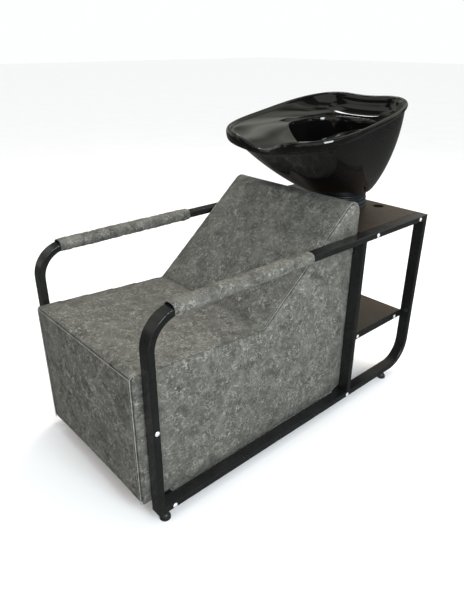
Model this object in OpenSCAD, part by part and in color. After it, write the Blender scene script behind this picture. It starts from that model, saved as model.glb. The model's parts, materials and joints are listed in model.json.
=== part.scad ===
// Shampoo backwash unit: an upholstered reclining seat in a tubular frame, with a shelf bay
// behind it and a ceramic basin that tilts on a rubber-covered neck.
// Millimetres. The seat faces -Y, the sitter's left is +X, +Z is up and the floor is z = 0.
// Inside the modules y is measured from the front of the side frames.

/* [Frame] */
// Length of a side frame, front to back
frame_len = 1200; // [1180:1:1240]
// Width over both side frames
frame_w = 620; // [616:1:660]
// Height of the armrest rail's top
rail_top = 645; // [640:1:660]
// Height of the bottom rail's underside
rail_clear = 35; // [34:1:38]
// Width of the frame tube, across the unit
tube_w = 40; // [36:1:40]
// Thickness of the frame tube, in the plane of its loop
tube_t = 20; // [20:1:22]
// Wall of the frame tube
tube_wall = 1.5; // [1.2:0.1:2]
// Corner radius of the tube's section
tube_corner = 3; // [2.5:0.5:4]
// Outside radius of the two large bends
bend_r = 100; // [90:1:110]
// Distance from the frame's front to the middle post's centre
mid_post_y = 830; // [828:1:836]

/* [Body] */
// Width of the upholstered body
body_w = 536; // [520:1:536]
// How far the body stands out in front of the frame
body_overhang = 27; // [24:1:32]
// Height of the covers' lower edge
body_bottom = 60; // [58:1:70]
// Height of the side covers' lower edge, just above the bottom rails
side_bottom = 56; // [56:1:60]
// Height of the seat's front edge
seat_front_z = 474; // [460:1:480]
// Distance from the frame's front to the crease of seat and back
crease_y = 436; // [430:1:440]
// Height of the crease
crease_z = 441; // [438:1:450]
// Recline of the back, in degrees up from level
back_angle = 40; // [38:0.5:41]
// Radius of the back's rounded top
back_round = 36; // [30:1:38]
// Distance from the frame's front to the body's rear face
body_rear_y = 850; // [848:1:852]
// Thickness of the seat and back cushions
cushion_t = 75; // [65:1:80]
// Thickness of the front and rear pads
pad_t = 12; // [10:1:14]
// Thickness of the side pads
side_pad_t = 10; // [8:1:12]
// Thickness of the carcass boards
board_t = 18; // [15:1:20]

/* [Armrests] */
// Distance from the frame's front to the sleeve's front end
arm_pad_y = 80; // [80:1:100]
// Length of the sleeve
arm_pad_len = 498; // [440:1:510]
// Width of the sleeve
arm_pad_w = 48; // [46:1:50]
// Padding above the rail
arm_pad_top = 10; // [8:1:12]
// Padding below the rail
arm_pad_under = 8; // [6:1:9]

/* [Shelves] */
// Thickness of the shelf sheet
sheet_t = 2; // [1.5:0.5:2.5]
// Height of the lower shelf's top
low_shelf_z = 258; // [230:1:300]
// Depth of the shelves' folded edges
shelf_fold = 27; // [25:1:30]
// Radius of the hose hole in the top shelf
hose_hole_r = 20; // [15:0.5:22]
// Distance from the unit's middle to the hose hole
hose_hole_x = 130; // [110:1:150]
// Distance from the frame's front to the hose hole
hose_hole_y = 1158; // [1140:1:1160]

/* [Basin] */
// Width over the basin's rim
basin_w = 500; // [480:1:510]
// Distance from the frame's front to the basin's front
basin_front_y = 635; // [632:1:640]
// Distance from the frame's front to the basin's widest point
basin_wide_y = 880; // [870:1:900]
// Distance from the frame's front to the basin's rear
basin_rear_y = 1206; // [1203:1:1212]
// Height of the rim beside the neck rest
rim_front_z = 934; // [928:1:940]
// Height of the rim at the rear
rim_rear_z = 1030; // [1020:1:1035]
// Drop of the rim in the middle of the neck rest
neck_dip = 46; // [38:1:50]
// Height of the basin's flat underside
basin_foot_z = 705; // [704:1:708]
// Radius of the basin's flat underside
basin_foot_r = 120; // [116:1:122]

/* [Neck] */
// Distance from the frame's front to the neck's axis
neck_y = 1085; // [1080:1:1088]
// Height of the tilt axis
pivot_z = 676; // [675:1:678]
// Radius of the bellows at its base
bellows_r = 104; // [103:0.5:106]
// Wall of the bellows
bellows_wall = 3; // [2:0.5:3]
// Number of folds in the bellows
bellows_folds = 4; // [3:1:5]
// Bore radius of the drain
drain_bore_r = 16; // [14:0.5:16]

/* [Hidden] */
$fn = 48;

steel_black = [0.05, 0.05, 0.055];
sheet_black = [0.13, 0.11, 0.10];
hide_grey = [0.42, 0.43, 0.42];
hide_dark = [0.36, 0.37, 0.36];
plywood = [0.72, 0.58, 0.40];
bright_steel = [0.80, 0.80, 0.82];
rubber_black = [0.10, 0.11, 0.12];
plastic_black = [0.04, 0.04, 0.04];
glaze_black = [0.015, 0.015, 0.018];

// The origin is on the floor under the middle of the unit, this far behind the frame's front
origin_y = (basin_rear_y - body_overhang) / 2;
rail_x = (frame_w - tube_w) / 2;
gap_half = frame_w / 2 - tube_w;
low_rail_top = rail_clear + tube_t;
high_rail_bottom = rail_top - tube_t;
low_rail_mid = rail_clear + tube_t / 2;
high_rail_mid = rail_top - tube_t / 2;
running_gap = 0.05;
loose_gap = 0.3;
board_gap = 0.1;

// Screws: M6 with wide heads
screw_r = 3;
screw_hole_r = 3.1;
screw_head_r = 7;
screw_head_h = 3;
screw_socket_r = 2;
screw_socket_depth = 1.8;
screw_dome_r = 11;
nut_flat_r = 5.5;
nut_h = 5;
cross_tube_y = [51, 824];
cross_plug_len = 20;
top_screw_y = [898, 1154];
low_screw_y = [904, 1140];
low_screw_z = low_shelf_z - 17;
low_bar_t = 3;
body_screw = [tube_t / 2, 316];

// Body: the seat's top falls to the crease, then the back rises at the recline angle
seat_fall = (seat_front_z - crease_z) / (crease_y + body_overhang);
back_dir = [cos(back_angle), sin(back_angle)];
back_root = [crease_y + cushion_t * back_dir[1], crease_z - cushion_t * back_dir[0]];
inner_front_y = pad_t - body_overhang;
inner_rear_y = body_rear_y - pad_t;
carcass_half = body_w / 2 - side_pad_t;
board_half = carcass_half - board_t;
back_corner_z = crease_z + (body_rear_y - crease_y) * tan(back_angle);
back_turn = back_round * tan(45 + back_angle / 2);
back_eye = [body_rear_y - back_round, back_corner_z - back_turn];
function seat_under(y) = seat_front_z - cushion_t - seat_fall * (y + body_overhang);
function back_under(y) = back_root[1] + (y - back_root[0]) * back_dir[1] / back_dir[0];

// Feet
foot_y = [28, 1075];
foot_base_h = 20;
foot_base_r = 16;
foot_stem_r = 5;
foot_stem_top = low_rail_top - tube_wall - 0.5;

// Neck: ears on the pedestal carry the ears of the tilt plate on two short pivot bolts
ear_r = 15;
pivot_r = 5;
pedestal_r = 88;
pedestal_t = 5;
pedestal_bolt_pcd = 150;
pedestal_bolt_r = 4;
pedestal_bolt_hole_r = 4.2;
pedestal_bolt_hex_r = 7.2;
pedestal_nut_h = 6.5;
waste_hole_r = 38;
bellows_top_z = basin_foot_z - loose_gap;
bellows_depth = 4;
bellows_taper = 7;
pedestal_ear_x = 44;
pedestal_ear_t = 6;
washer_t = 2;
tilt_ear_x = pedestal_ear_x + pedestal_ear_t + washer_t + loose_gap;
tilt_ear_t = 6;
pivot_head_x = tilt_ear_x + tilt_ear_t + loose_gap;
pivot_flat_r = 8;
tilt_plate_r = 80;
tilt_plate_t = 5;
basin_pad_t = 4;
tilt_plate_z = basin_foot_z - basin_pad_t - tilt_plate_t;

// Basin: centres of its rings in plan, and the exponents that square its outline
ring_points = 72;
ring_angles = [for (i = [0 : ring_points - 1]) let (u = 360 * i / ring_points) u - 8 * sin(4 * u)];
basin_eye = [0, 960];
foot_eye_y = neck_y - 18;
neck_half = 78;
neck_recess = 32;
front_square = 2.9;
rear_square = 5.5;
rear_taper = 0.23;
rear_dip = 7;
rear_dip_half = 80;
opening_eye = [0, 1012];
opening_half = [146, 140];
opening_z = 950;
floor_r = 62;
cast_wall = 13;
vent_r = 4;
vent_x = 108;

// Drain, from the basin's floor to the tail's end
basin_floor_t = 16;
basin_floor_z = basin_foot_z + basin_floor_t;
drain_hole_r = 22;
drain_tube_r = 20;
drain_flange_r = 36;
drain_washer_t = 2;
drain_flange_t = 3;
drain_tube_bottom = 664;
tail_bottom = 590;
tail_r = 19;

module placed() {
    translate([0, -origin_y, 0])
        children();
}

// Drawn once for the sitter's left, or mirrored for the right
module on_side(side) {
    mirror([side < 0 ? 1 : 0, 0, 0])
        children();
}

module both_sides() {
    on_side(1) children();
    on_side(-1) children();
}

module rounded_rect(w, h, r) {
    square([w, h - 2 * r], center = true);
    square([w - 2 * r, h], center = true);
    for (x = [-1, 1], y = [-1, 1])
        translate([x * (w / 2 - r), y * (h / 2 - r)])
            circle(r);
}

module tube_section(inset) {
    rounded_rect(tube_w - 2 * inset, tube_t - 2 * inset, tube_corner - inset);
}

// A cylinder along X, from x0 to x1
module rod_x(r, x0, x1) {
    translate([x0, 0, 0])
        rotate([0, 90, 0])
            cylinder(r = r, h = x1 - x0);
}

module hexagon_x(flat_r, x0, x1) {
    translate([x0, 0, 0])
        rotate([0, 90, 0])
            cylinder(r = flat_r / cos(30), h = x1 - x0, $fn = 6);
}

// ---- Frame ----

// Front post, large bend and top rail, drawn about the centre of the frame's loop
module bent_run(inset) {
    half_l = frame_len / 2;
    half_h = (rail_top - rail_clear) / 2;
    bend_mid_r = bend_r - tube_t / 2;
    translate([0, tube_t / 2 - half_l, -half_h])
        linear_extrude(2 * half_h - bend_r)
            tube_section(inset);
    translate([0, bend_r - half_l, half_h - bend_r])
        rotate([90, 0, -90])
            rotate_extrude(angle = 90, $fn = 96)
                translate([bend_mid_r, 0])
                    rotate(90)
                        tube_section(inset);
    translate([0, bend_r - half_l, half_h - tube_t / 2])
        rotate([-90, 0, 0])
            linear_extrude(frame_len - bend_r)
                tube_section(inset);
}

// The side of the two 45 degree mitres on which the front post and the top rail lie
module mitre_half() {
    half_l = frame_len / 2;
    half_h = (rail_top - rail_clear) / 2;
    rotate([90, 0, 90])
        translate([0, 0, -tube_w])
            linear_extrude(2 * tube_w)
                polygon([
                    [-half_l - 1, -half_h - 1], [tube_t - half_l, tube_t - half_h],
                    [half_l - tube_t, half_h - tube_t], [half_l + 1, half_h + 1],
                    [-half_l - 1, half_h + 1]
                ]);
}

module bent_tube() {
    intersection() {
        difference() {
            bent_run(0);
            bent_run(tube_wall);
        }
        mitre_half();
    }
}

module to_loop_centre() {
    translate([rail_x, frame_len / 2, (rail_top + rail_clear) / 2])
        children();
}

module tube_screw_hole(y, z) {
    translate([0, y, z])
        rod_x(screw_hole_r, gap_half - 1, frame_w / 2 + 1);
}

module arm_tube(side) {
    color(steel_black) placed() on_side(side)
        difference() {
            to_loop_centre() bent_tube();
            tube_screw_hole(body_screw[0], body_screw[1]);
            for (y = top_screw_y)
                tube_screw_hole(y, high_rail_mid);
        }
}

module base_tube(side) {
    color(steel_black) placed() on_side(side)
        difference() {
            to_loop_centre() rotate([180, 0, 0]) bent_tube();
            for (y = cross_tube_y)
                tube_screw_hole(y, low_rail_mid);
            for (y = foot_y)
                translate([rail_x, y, rail_clear - 1])
                    cylinder(r = foot_stem_r + 0.2, h = tube_wall + 2);
        }
}

module mid_post(side) {
    color(steel_black) placed() on_side(side)
        translate([rail_x, mid_post_y, low_rail_top])
            linear_extrude(high_rail_bottom - low_rail_top)
                difference() {
                    tube_section(0);
                    tube_section(tube_wall);
                }
}

module cross_tube(y) {
    color(steel_black) placed()
        translate([-gap_half, y, low_rail_mid])
            rotate([90, 0, 90])
                linear_extrude(2 * gap_half)
                    difference() {
                        tube_section(0);
                        tube_section(tube_wall);
                    }
}

module cross_tube_inserts() {
    color(bright_steel) placed() both_sides()
        for (y = cross_tube_y)
            translate([0, y, low_rail_mid])
                difference() {
                    translate([gap_half - cross_plug_len, 0, 0])
                        rotate([90, 0, 90])
                            linear_extrude(cross_plug_len)
                                tube_section(tube_wall + 0.1);
                    rod_x(screw_hole_r, gap_half - cross_plug_len - 1, gap_half + 1);
                }
}

// A screw along X: its shank from x0 to x1, then a domed head with a hexagon socket
module socket_screw(x0, x1) {
    head_end = x1 + screw_head_h;
    difference() {
        union() {
            rod_x(screw_r, x0, x1);
            intersection() {
                rod_x(screw_head_r, x1, head_end);
                translate([head_end - screw_dome_r, 0, 0])
                    sphere(screw_dome_r);
            }
        }
        hexagon_x(screw_socket_r, head_end - screw_socket_depth, head_end + 1);
    }
}

// A screw from outside the frame, with its head on the tube
module frame_screw(y, z, reach) {
    translate([0, y, z])
        socket_screw(frame_w / 2 - reach, frame_w / 2);
}

module cross_tube_screws() {
    color(bright_steel) placed() both_sides()
        for (y = cross_tube_y)
            frame_screw(y, low_rail_mid, tube_w + 15);
}

module body_screws() {
    color(bright_steel) placed() both_sides()
        frame_screw(body_screw[0], body_screw[1], tube_w + 28);
}

module foot_inserts() {
    color(bright_steel) placed() both_sides()
        for (y = foot_y)
            translate([rail_x, y, rail_clear + tube_wall])
                difference() {
                    cylinder(r = 9.5, h = 9, $fn = 6);
                    translate([0, 0, -1])
                        cylinder(r = foot_stem_r + running_gap, h = 11);
                }
}

module foot_base(side, y) {
    color(plastic_black) placed() on_side(side)
        translate([rail_x, y, 0])
            rotate_extrude()
                difference() {
                    union() {
                        square([foot_base_r, 6]);
                        intersection() {
                            translate([0, 6])
                                circle(foot_base_r - 2);
                            translate([0, 5])
                                square([foot_base_r, foot_base_h - 5]);
                        }
                        square([8, foot_base_h]);
                    }
                    translate([-foot_base_r - 1, -1])
                        square([foot_base_r + 1, foot_base_h + 2]);
                    translate([-1, 8])
                        square([foot_stem_r + 0.1 + 1, foot_base_h]);
                }
}

module foot_stem(side, y) {
    color(bright_steel) placed() on_side(side)
        translate([rail_x, y, 8])
            cylinder(r = foot_stem_r, h = foot_stem_top - 8);
}

// ---- Body ----

// Extrudes a side profile, given as [y, z] points, across x0 to x1
module across(x0, x1) {
    translate([x0, 0, 0])
        rotate([90, 0, 90])
            linear_extrude(x1 - x0)
                children();
}

// The carcass in side view, with its lower edge at the given height
module carcass_profile(bottom) {
    polygon([
        [inner_front_y, bottom], [inner_front_y, seat_under(inner_front_y)],
        [back_root[0], seat_under(back_root[0])], back_root,
        [inner_rear_y, back_under(inner_rear_y)], [inner_rear_y, bottom]
    ]);
}

module body_screw_hole() {
    translate([0, body_screw[0], body_screw[1]])
        rod_x(screw_hole_r, frame_w / 2 - tube_w - 30, frame_w / 2);
}

module carcass_side(side) {
    color(plywood) placed() on_side(side)
        difference() {
            across(board_half, carcass_half)
                carcass_profile(low_rail_top);
            body_screw_hole();
        }
}

module side_pad(side) {
    color(hide_grey) placed() on_side(side)
        difference() {
            across(carcass_half, body_w / 2)
                carcass_profile(side_bottom);
            body_screw_hole();
        }
}

module carcass_front() {
    color(plywood) placed()
        across(-board_half, board_half)
            polygon([
                [inner_front_y, low_rail_top], [inner_front_y, seat_under(inner_front_y)],
                [inner_front_y + board_t, seat_under(inner_front_y + board_t)],
                [inner_front_y + board_t, low_rail_top]
            ]);
}

module carcass_rear() {
    color(plywood) placed()
        across(-board_half, board_half)
            polygon([
                [inner_rear_y - board_t, low_rail_top],
                [inner_rear_y - board_t, back_under(inner_rear_y - board_t)],
                [inner_rear_y, back_under(inner_rear_y)], [inner_rear_y, low_rail_top]
            ]);
}

module carcass_seat_board() {
    front = inner_front_y + board_t;
    color(plywood) placed()
        across(-board_half, board_half)
            polygon([
                [front, seat_under(front) - board_t], [front, seat_under(front) - board_gap],
                [back_root[0], seat_under(back_root[0]) - board_gap],
                [back_root[0], seat_under(back_root[0]) - board_t]
            ]);
}

module carcass_back_board() {
    rear = inner_rear_y - board_t;
    drop = board_t / back_dir[0];
    color(plywood) placed()
        across(-board_half, board_half)
            polygon([
                [back_root[0], back_root[1] - drop], [back_root[0], back_root[1] - board_gap],
                [rear, back_under(rear) - board_gap], [rear, back_under(rear) - drop]
            ]);
}

module seat_cushion() {
    color(hide_grey) placed()
        across(-body_w / 2, body_w / 2)
            polygon([
                [-body_overhang, seat_under(-body_overhang)], [-body_overhang, seat_front_z],
                [crease_y, crease_z], back_root, [back_root[0], seat_under(back_root[0])]
            ]);
}

// The back's top is rounded where its face meets the rear
module back_profile() {
    polygon([
        [crease_y, crease_z], back_eye + back_round * [-back_dir[1], back_dir[0]],
        [body_rear_y, back_eye[1]], [body_rear_y, back_under(body_rear_y)], back_root
    ]);
    translate(back_eye)
        circle(back_round);
}

module back_cushion() {
    color(hide_grey) placed()
        across(-body_w / 2, body_w / 2)
            back_profile();
}

module front_pad() {
    color(hide_dark) placed()
        across(-body_w / 2, body_w / 2)
            polygon([
                [-body_overhang, body_bottom], [-body_overhang, seat_under(-body_overhang)],
                [inner_front_y, seat_under(inner_front_y)], [inner_front_y, body_bottom]
            ]);
}

module rear_pad() {
    color(hide_dark) placed()
        across(-body_w / 2, body_w / 2)
            polygon([
                [inner_rear_y, body_bottom], [inner_rear_y, back_under(inner_rear_y)],
                [body_rear_y, back_under(body_rear_y)], [body_rear_y, body_bottom]
            ]);
}

module armrest_pad(side) {
    pad_h = tube_t + arm_pad_top + arm_pad_under;
    color(hide_grey) placed() on_side(side)
        difference() {
            translate([rail_x, arm_pad_y, high_rail_mid + (arm_pad_top - arm_pad_under) / 2])
                rotate([-90, 0, 0])
                    linear_extrude(arm_pad_len)
                        rounded_rect(arm_pad_w, pad_h, 13);
            to_loop_centre() bent_run(-loose_gap);
        }
}

// ---- Shelves ----

// A sheet with all four edges folded down, its top at z = 0
module folded_tray(x_half, y0, y1, t) {
    difference() {
        translate([-x_half, y0, -shelf_fold])
            cube([2 * x_half, y1 - y0, shelf_fold]);
        translate([t - x_half, y0 + t, -shelf_fold - 1])
            cube([2 * (x_half - t), y1 - y0 - 2 * t, shelf_fold + 1 - t]);
    }
}

module at_pedestal_bolts() {
    for (a = [45 : 90 : 315])
        translate([pedestal_bolt_pcd / 2 * cos(a), neck_y + pedestal_bolt_pcd / 2 * sin(a), 0])
            children();
}

module top_shelf() {
    color(sheet_black) placed()
        difference() {
            translate([0, 0, rail_top])
                folded_tray(gap_half, body_rear_y + 4, frame_len, sheet_t);
            both_sides()
                for (y = top_screw_y)
                    translate([0, y, high_rail_mid])
                        rod_x(screw_hole_r, gap_half - 5, gap_half + 1);
            translate([hose_hole_x, hose_hole_y, rail_top - 5])
                cylinder(r = hose_hole_r, h = 10);
            translate([0, neck_y, rail_top - 5])
                cylinder(r = waste_hole_r, h = 10);
            at_pedestal_bolts()
                translate([0, 0, rail_top - 5])
                    cylinder(r = pedestal_bolt_hole_r, h = 10);
        }
}

module top_shelf_screws() {
    color(bright_steel) placed() both_sides()
        for (y = top_screw_y)
            frame_screw(y, high_rail_mid, tube_w + 10);
}

// A nut inside a shelf's folded edge
module edge_nut(y, z, edge_x) {
    translate([0, y, z])
        difference() {
            hexagon_x(nut_flat_r, edge_x - nut_h, edge_x);
            rod_x(screw_hole_r, edge_x - nut_h - 1, edge_x + 1);
        }
}

module top_shelf_nuts() {
    color(bright_steel) placed() both_sides()
        for (y = top_screw_y)
            edge_nut(y, high_rail_mid, gap_half - sheet_t);
}

module lower_shelf() {
    color(sheet_black) placed()
        difference() {
            translate([0, 0, low_shelf_z])
                folded_tray(gap_half, body_rear_y + 4, frame_len - tube_t - 2, sheet_t);
            both_sides()
                for (y = low_screw_y)
                    translate([0, y, low_screw_z])
                        rod_x(screw_hole_r, gap_half - 5, gap_half + 1);
        }
}

// A flat bar welded between the middle and rear posts, which carries the lower shelf's edge
module shelf_bar(side) {
    y0 = mid_post_y + tube_t / 2;
    color(steel_black) placed() on_side(side)
        difference() {
            translate([gap_half, y0, low_shelf_z - shelf_fold])
                cube([low_bar_t, frame_len - tube_t - y0, shelf_fold]);
            for (y = low_screw_y)
                translate([0, y, low_screw_z])
                    rod_x(screw_hole_r, gap_half - 1, gap_half + low_bar_t + 1);
        }
}

module lower_shelf_screws() {
    head_x = gap_half + low_bar_t;
    color(bright_steel) placed() both_sides()
        for (y = low_screw_y)
            translate([0, y, low_screw_z])
                socket_screw(gap_half - 10, head_x);
}

module lower_shelf_nuts() {
    color(bright_steel) placed() both_sides()
        for (y = low_screw_y)
            edge_nut(y, low_screw_z, gap_half - sheet_t);
}

// ---- Neck ----

// An upright ear with its round end on the tilt axis; reach is how far it goes up or down
module pivot_ear(x, t, reach, bore_r) {
    translate([x, neck_y, pivot_z])
        rotate([90, 0, 90])
            linear_extrude(t)
                difference() {
                    union() {
                        circle(ear_r);
                        translate([-ear_r, min(0, reach)])
                            square([2 * ear_r, abs(reach)]);
                    }
                    circle(bore_r);
                }
}

module pedestal_bracket() {
    color(steel_black) placed() {
        difference() {
            translate([0, neck_y, rail_top])
                cylinder(r = pedestal_r, h = pedestal_t);
            translate([0, neck_y, rail_top - 1])
                cylinder(r = waste_hole_r, h = pedestal_t + 2);
            at_pedestal_bolts()
                translate([0, 0, rail_top - 1])
                    cylinder(r = pedestal_bolt_hole_r, h = pedestal_t + 2);
        }
        both_sides()
            pivot_ear(pedestal_ear_x, pedestal_ear_t, rail_top + pedestal_t - pivot_z, pivot_r + 0.1);
    }
}

module pedestal_bolts() {
    under = rail_top - sheet_t;
    color(bright_steel) placed()
        at_pedestal_bolts() {
            translate([0, 0, under - 8])
                cylinder(r = pedestal_bolt_r, h = rail_top + pedestal_t + 0.1 - under + 8);
            translate([0, 0, rail_top + pedestal_t])
                cylinder(r = pedestal_bolt_hex_r, h = 4.5, $fn = 6);
        }
}

module pedestal_nuts() {
    color(bright_steel) placed()
        at_pedestal_bolts()
            translate([0, 0, rail_top - sheet_t - pedestal_nut_h])
                difference() {
                    cylinder(r = pedestal_bolt_hex_r, h = pedestal_nut_h, $fn = 6);
                    translate([0, 0, -1])
                        cylinder(r = pedestal_bolt_r + 0.1, h = pedestal_nut_h + 2);
                }
}

module pivot_bolts() {
    color(bright_steel) placed() both_sides()
        translate([0, neck_y, pivot_z]) {
            rod_x(pivot_r, pedestal_ear_x - 7, pivot_head_x);
            hexagon_x(pivot_flat_r, pivot_head_x, pivot_head_x + 5);
        }
}

module pivot_nuts() {
    color(bright_steel) placed() both_sides()
        translate([0, neck_y, pivot_z])
            difference() {
                hexagon_x(pivot_flat_r, pedestal_ear_x - 6, pedestal_ear_x);
                rod_x(pivot_r + 0.1, pedestal_ear_x - 7, pedestal_ear_x + 1);
            }
}

module pivot_washers() {
    x = pedestal_ear_x + pedestal_ear_t;
    color(rubber_black) placed() both_sides()
        translate([0, neck_y, pivot_z])
            difference() {
                rod_x(ear_r - 2, x, x + washer_t);
                rod_x(pivot_r + 0.1, x - 1, x + washer_t + 1);
            }
}

module tilt_bracket() {
    color(steel_black) placed() {
        difference() {
            translate([0, neck_y, tilt_plate_z])
                cylinder(r = tilt_plate_r, h = tilt_plate_t);
            translate([0, neck_y, tilt_plate_z - 1])
                cylinder(r = drain_hole_r, h = tilt_plate_t + 2);
        }
        both_sides()
            pivot_ear(tilt_ear_x, tilt_ear_t, tilt_plate_z - pivot_z, pivot_r + running_gap);
    }
}

module basin_pad() {
    color(rubber_black) placed()
        translate([0, neck_y, basin_foot_z - basin_pad_t])
            difference() {
                cylinder(r = tilt_plate_r, h = basin_pad_t);
                translate([0, 0, -1])
                    cylinder(r = drain_hole_r, h = basin_pad_t + 2);
            }
}

// The bellows' wall narrows upwards in rounded folds
function bellows_radius(t) =
    bellows_r - bellows_taper * t - bellows_depth * (1 - cos(360 * bellows_folds * t)) / 2;

module neck_bellows() {
    steps = bellows_folds * 8;
    h = bellows_top_z - rail_top;
    outer = [for (i = [0 : steps]) [bellows_radius(i / steps), h * i / steps]];
    inner = [for (i = [steps : -1 : 0]) [bellows_radius(i / steps) - bellows_wall, h * i / steps]];
    color(rubber_black) placed()
        translate([0, neck_y, rail_top])
            rotate_extrude($fn = 96)
                polygon(concat(outer, inner));
}

// ---- Basin ----

// The basin is one skin of rings. Every ring has a point at each angle round the basin:
// 0 is the sitter's left, 90 the rear and 270 the neck rest.
function blend(a, b, t) = a + (b - a) * t;
function power_of(v, n) = sign(v) * pow(abs(v), 2 / n);
function neck_weight(a, x) = sin(a) < 0 ? exp(-pow(x / neck_half, 2)) : 0;
function rim_x(a) = sin(a) < 0
    ? basin_w / 2 * power_of(cos(a), front_square)
    : basin_w / 2 * power_of(cos(a), rear_square) * (1 - rear_taper * pow(power_of(sin(a), rear_square), 3));
function rim_y(a) = sin(a) < 0
    ? basin_wide_y + (basin_wide_y - basin_front_y) * power_of(sin(a), front_square)
        + neck_recess * neck_weight(a, rim_x(a))
    : basin_wide_y + (basin_rear_y - basin_wide_y) * power_of(sin(a), rear_square);
function rim_rise(y) = pow(max(0, (y - basin_front_y) / (basin_rear_y - basin_front_y)), 1.15);
function rear_weight(a, x) = sin(a) > 0 ? exp(-pow(x / rear_dip_half, 2)) : 0;
function rim_z(a) =
    blend(rim_front_z, rim_rear_z, rim_rise(rim_y(a)))
        - neck_dip * neck_weight(a, rim_x(a)) - rear_dip * rear_weight(a, rim_x(a));
function rim(a, inward, drop) =
    let (p = [rim_x(a), rim_y(a)], q = p + inward * (basin_eye - p) / norm(basin_eye - p))
    [q[0], q[1], rim_z(a) - drop];
function frontness(a) = (1 - sin(a)) / 2;
function lip_h(a) = 16 + 30 * pow(frontness(a), 3) * (1 - 0.9 * neck_weight(a, rim_x(a)));

// Outside: a straight flank under the neck rest, a round one at the rear
function flank(a, h) =
    let (
        g = blend(sin(90 * pow(h, 0.8)), pow(h, 0.85), pow(frontness(a), 1.5)),
        top = rim(a, 7 + 36 * pow(frontness(a), 4), lip_h(a)),
        foot = [basin_foot_r * cos(a), foot_eye_y + basin_foot_r * sin(a)]
    )
    [blend(foot[0], top[0], g), blend(foot[1], top[1], g), blend(basin_foot_z, top[2], h)];

// Inside: the deep basin's opening, which falls towards the neck rest
function opening(a, scale, drop) =
    let (
        x = opening_half[0] * power_of(cos(a), 2.7),
        y = opening_half[1] * power_of(sin(a), 2.7),
        low = frontness(a) > 0.5 ? pow(frontness(a) * 2 - 1, 2) * exp(-pow(x / 95, 2)) : 0
    )
    [scale * x, opening_eye[1] + scale * y, opening_z - 12 * frontness(a) - 58 * low - drop];

// Between the rim and the opening: a steep wall at the rear, an even slope elsewhere
function inner_wall(a, t) =
    let (
        top = rim(a, 17, 9),
        low = opening(a, 1.03, 0),
        steep = pow(1 - frontness(a), 2)
    )
    [
        blend(top[0], low[0], blend(t, pow(t, 4), steep)),
        blend(top[1], low[1], blend(t, pow(t, 4), steep)),
        blend(top[2], low[2], t)
    ];

function deep(a, t) =
    let (
        top = opening(a, 0.96, 6),
        g = pow(t, 2.2)
    )
    [
        blend(top[0], floor_r * cos(a), g),
        blend(top[1], neck_y - 6 + floor_r * sin(a), g),
        blend(top[2], basin_floor_z, sin(90 * t))
    ];

basin_rings = concat(
    [for (h = [0, 0.03, 0.08, 0.16, 0.26, 0.38, 0.5, 0.64, 0.78, 0.9, 1])
        [for (a = ring_angles) flank(a, h)]],
    [for (s = [[0, 0.8], [0, 0.35], [2.5, 0.08], [6, 0], [11, 0.03]])
        [for (a = ring_angles) rim(a, s[0], s[1] * lip_h(a))]],
    [for (t = [0, 0.12, 0.28, 0.45, 0.62, 0.8, 0.93]) [for (a = ring_angles) inner_wall(a, t)]],
    [[for (a = ring_angles) opening(a, 1, 1)]],
    [for (t = [0, 0.12, 0.25, 0.4, 0.55, 0.7, 0.85, 1]) [for (a = ring_angles) deep(a, t)]]
);

// The ceramic is cast hollow: a ring-shaped space lies between the flank and the deep basin
function toward(p, eye, d) =
    let (v = eye - [p[0], p[1]], q = d / norm(v) * v)
    [p[0] + q[0], p[1] + q[1], p[2]];
cast_space_rings = concat(
    [for (h = [0.1, 0.25, 0.45, 0.62, 0.74])
        [for (a = ring_angles) toward(flank(a, h), basin_eye, cast_wall + 6 * frontness(a))]],
    [for (t = [0.78, 0.95]) [for (a = ring_angles) inner_wall(a, t) - [0, 0, cast_wall + 3]]],
    [for (t = [0.15, 0.35, 0.6, 0.8]) [for (a = ring_angles) toward(deep(a, t), opening_eye, -cast_wall)]]
);

// Joins rings into a closed tube that runs round the basin
module ring_tube(rings) {
    n = len(rings[0]);
    m = len(rings);
    polyhedron(
        points = [for (r = rings, p = r) p],
        faces = concat(
            [for (k = [0 : m - 1], i = [0 : n - 1])
                [k * n + i, (k + 1) % m * n + i, (k + 1) % m * n + (i + 1) % n]],
            [for (k = [0 : m - 1], i = [0 : n - 1])
                [k * n + i, (k + 1) % m * n + (i + 1) % n, k * n + (i + 1) % n]]
        )
    );
}

// Closes a stack of rings into a solid, with a flat face on the first and the last
module ring_skin(rings) {
    n = len(rings[0]);
    last = (len(rings) - 1) * n;
    polyhedron(
        points = [for (r = rings, p = r) p],
        faces = concat(
            [[for (i = [0 : n - 1]) i]],
            [for (k = [0 : len(rings) - 2], i = [0 : n - 1])
                [k * n + i, (k + 1) * n + i, (k + 1) * n + (i + 1) % n]],
            [for (k = [0 : len(rings) - 2], i = [0 : n - 1])
                [k * n + i, (k + 1) * n + (i + 1) % n, k * n + (i + 1) % n]],
            [[for (i = [n - 1 : -1 : 0]) last + i]]
        )
    );
}

module ceramic_basin() {
    color(glaze_black) placed()
        difference() {
            ring_skin(basin_rings);
            ring_tube(cast_space_rings);
            both_sides()
                translate([vent_x, foot_eye_y, basin_foot_z - 1])
                    cylinder(r = vent_r, h = 40);
            translate([0, neck_y, basin_foot_z - 1])
                cylinder(r = drain_hole_r, h = basin_floor_t + 2);
        }
}

module drain_washer() {
    color(rubber_black) placed()
        translate([0, neck_y, basin_floor_z])
            difference() {
                cylinder(r = drain_flange_r - 3, h = drain_washer_t);
                translate([0, 0, -1])
                    cylinder(r = drain_hole_r, h = drain_washer_t + 2);
            }
}

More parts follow.
